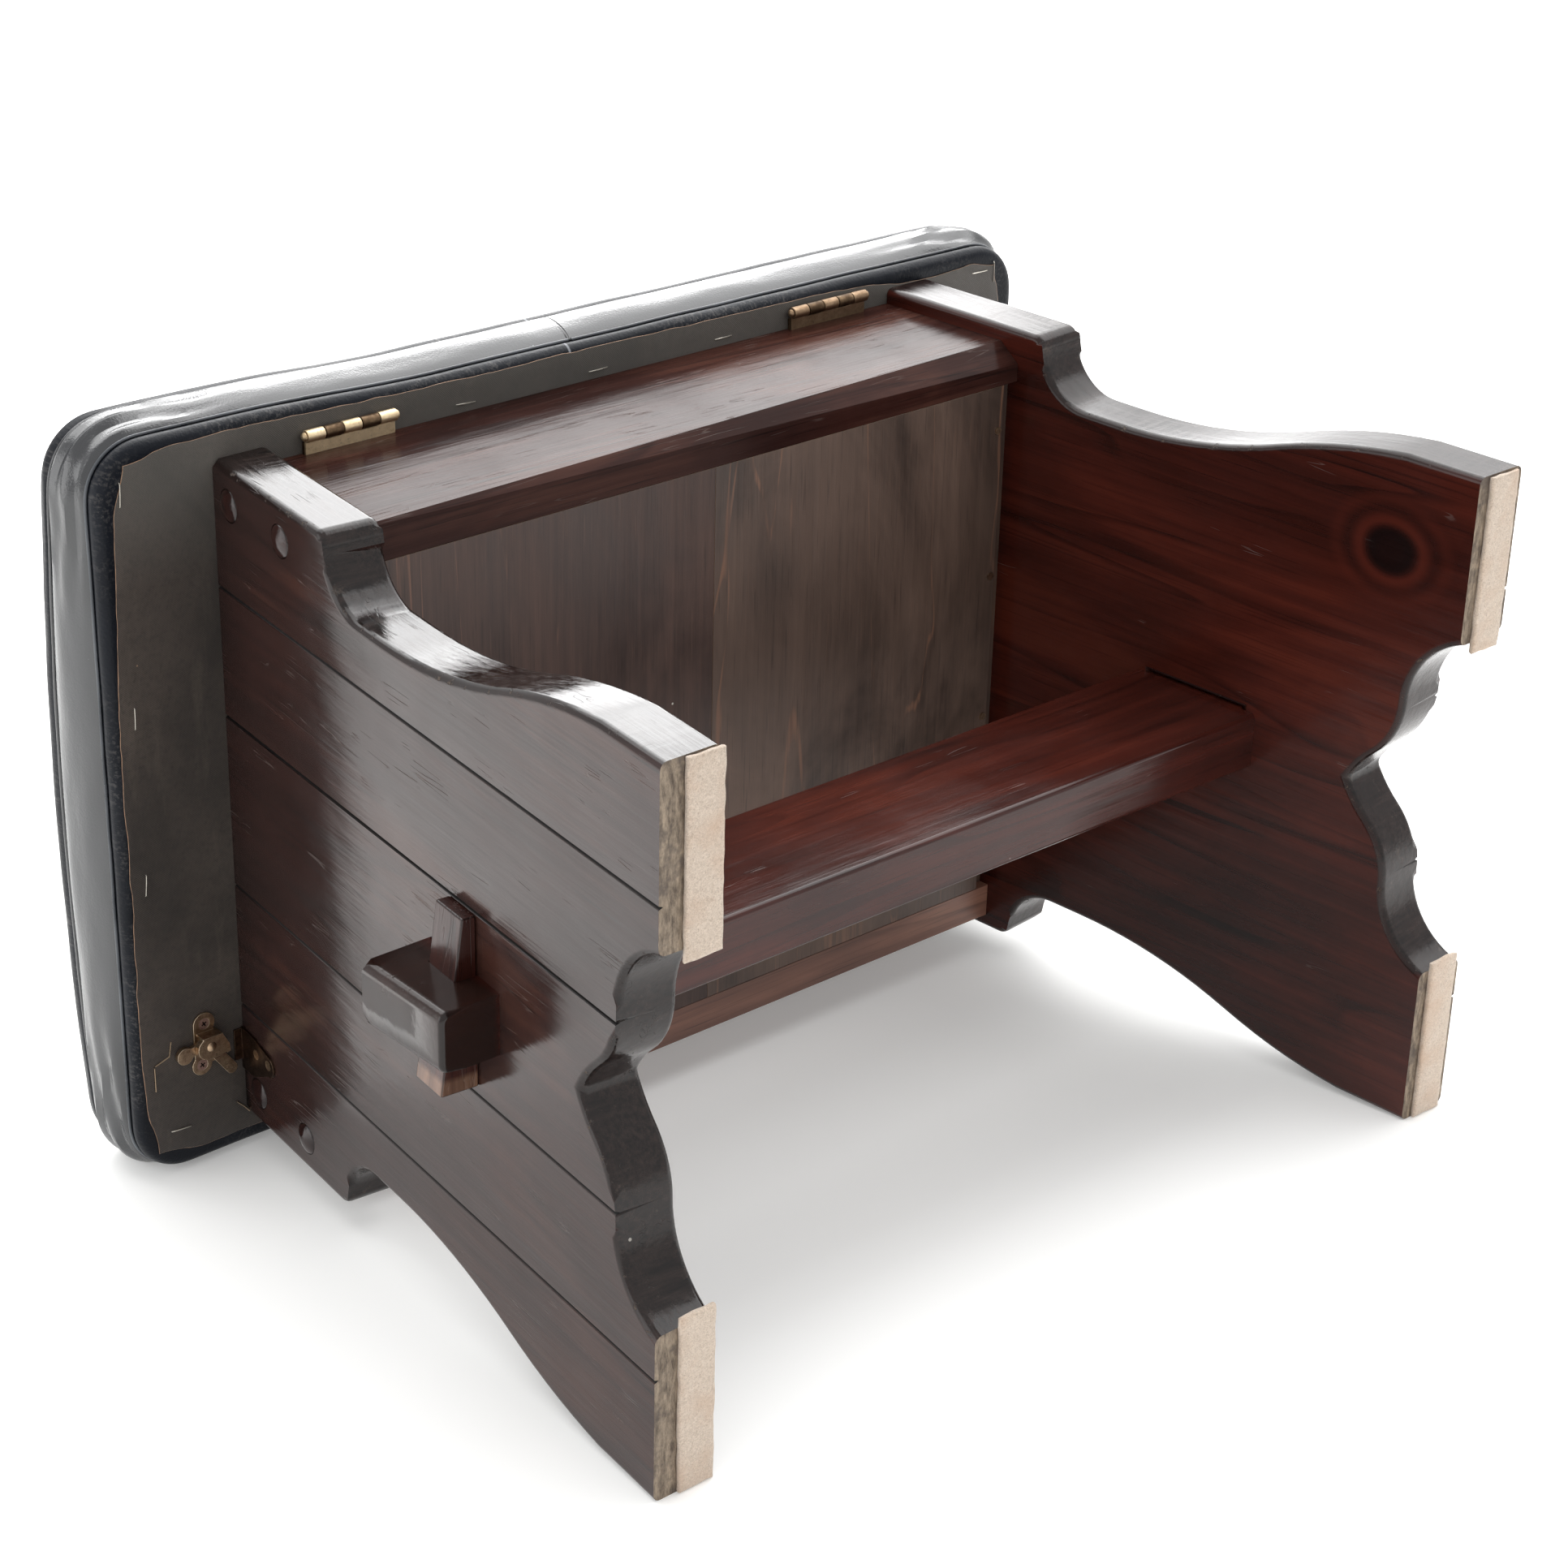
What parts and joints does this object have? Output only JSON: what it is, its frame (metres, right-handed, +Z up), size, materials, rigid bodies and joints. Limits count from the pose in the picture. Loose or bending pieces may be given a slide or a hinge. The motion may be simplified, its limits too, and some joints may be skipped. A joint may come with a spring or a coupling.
{
  "type": "kneeling bench",
  "caption": "Kneeling bench: splayed trestle ends tied by a wedged stretcher carry a shallow storage box under a hinged, padded vinyl lid with an elbow catch.",
  "frame": {"origin": "on the floor under the middle of the bench", "axes": "+X along the bench towards the catch end, +Y towards the hinges, +Z up"},
  "size_m": [0.5728, 0.3848, 0.4235],
  "materials": {
    "dark_wood": "stained and varnished, satin to gloss",
    "plywood": "thinly stained, matte",
    "plain_wood": "bare, matte",
    "old_brass": "tarnished",
    "steel": "plain",
    "felt": "wool felt",
    "brass": "brass plated, lightly worn",
    "foam": "open-cell foam",
    "vinyl": "glossy upholstery vinyl",
    "dust_cloth": "woven dust cover cloth"
  },
  "bodies": {
    "frame": {"end_board_right": "dark_wood", "end_board_left": "dark_wood", "back_rail": "dark_wood", "front_rail": "dark_wood", "bottom_panel_right": "plywood", "bottom_panel_left": "plywood", "end_cleat_right": "plain_wood", "end_cleat_left": "plain_wood", "side_cleat_back": "plain_wood", "side_cleat_front": "plain_wood", "panel_nails": "old_brass", "stretcher": "dark_wood", "wedge_right": "dark_wood", "wedge_left": "dark_wood", "rail_screws": "steel", "screw_plugs": "dark_wood", "felt_back_right": "felt", "felt_front_right": "felt", "felt_back_left": "felt", "felt_front_left": "felt", "hinge_right_rail_leaf": "brass", "hinge_left_rail_leaf": "brass", "hinge_right_pin": "brass", "hinge_left_pin": "brass", "rail_leaf_screws": "brass", "strike_plate": "old_brass", "strike_screws": "old_brass"},
    "lid": {"lid_board": "plywood", "seat_pad": "foam", "seat_cover": "vinyl", "upper_welt": "vinyl", "lower_welt": "vinyl", "dust_cover": "dust_cloth", "cover_staples": "steel", "hinge_right_lid_leaf": "brass", "hinge_left_lid_leaf": "brass", "lid_leaf_screws": "brass", "catch_base": "old_brass", "catch_rivet": "old_brass", "catch_screws": "steel"},
    "catch_lever": {"catch_lever": "old_brass"}
  },
  "joints": [
    {"name": "lid_hinge", "type": "hinge", "parent": "frame", "child": "lid", "pos_m": [0, 0.174, 0.3671], "axis": [-1, 0, 0], "range_deg": [0, 100]},
    {"name": "catch_pivot", "type": "hinge", "parent": "lid", "child": "catch_lever", "pos_m": [0.2435, -0.1245, 0.3678], "axis": [0, 0, -1], "range_deg": [-25, 15]}
  ]
}
